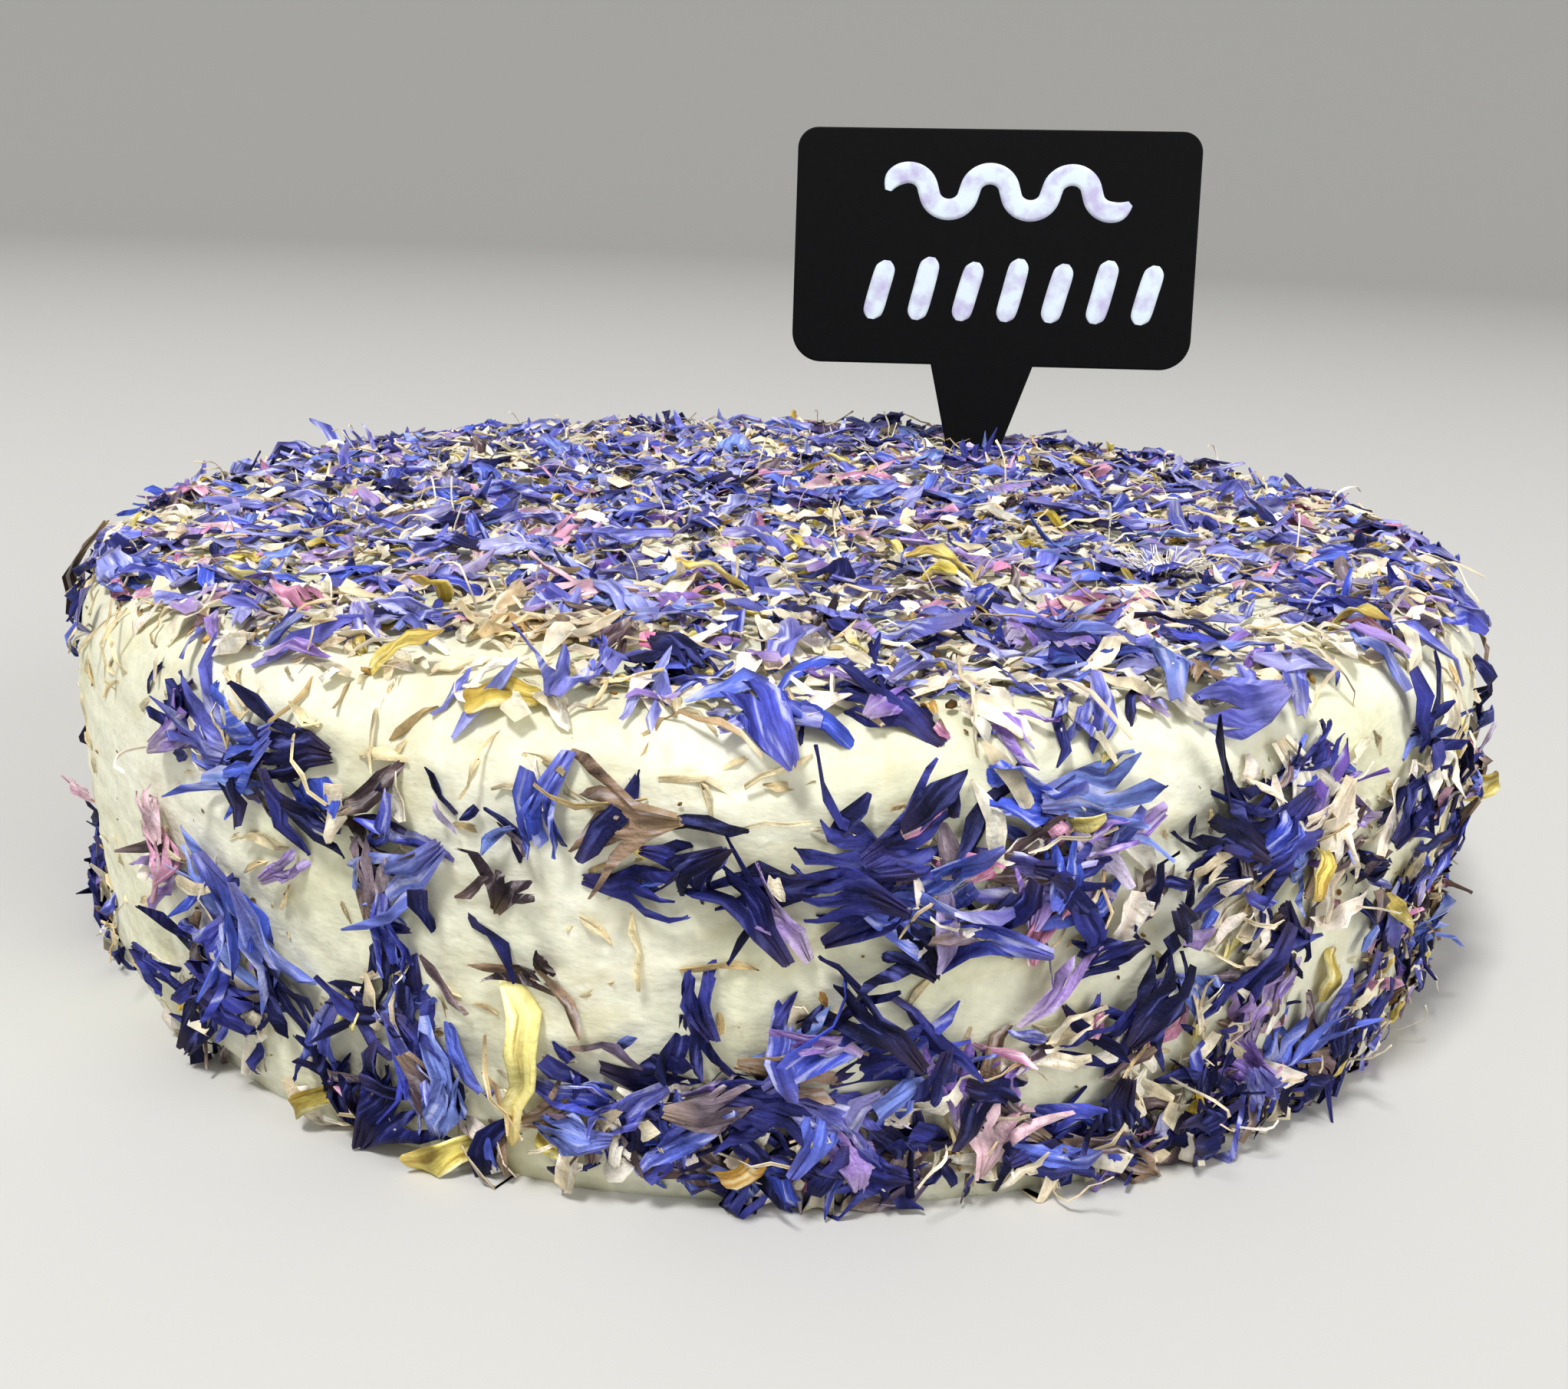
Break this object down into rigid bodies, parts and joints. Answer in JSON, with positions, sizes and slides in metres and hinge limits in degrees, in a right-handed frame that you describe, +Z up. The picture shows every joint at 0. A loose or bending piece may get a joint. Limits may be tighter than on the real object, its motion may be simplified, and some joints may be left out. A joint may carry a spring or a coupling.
{
  "type": "cashew cheese wheel with label pick",
  "caption": "Low round wheel of cream-white cashew cheese coated in dried cornflower petals, with a black label pick stuck in its top.",
  "frame": {"origin": "middle of the wheel's base, on the surface it stands on", "axes": "+Z up through the wheel; -Y is the front, the side the label is read from; +X to the right"},
  "size_m": [0.207, 0.207, 0.1196],
  "materials": {
    "cheese_paste": "matt, faintly moist paste with fine pits",
    "black_plastic": "matt black write-on plastic",
    "dried_petals": "dry creased petals, mostly blue, some cream, lilac and yellow",
    "marker_paint": "chalky white marker"
  },
  "bodies": {
    "root": {"cheese_wheel": "cheese_paste", "label_pick": "black_plastic"}
  },
  "joints": []
}
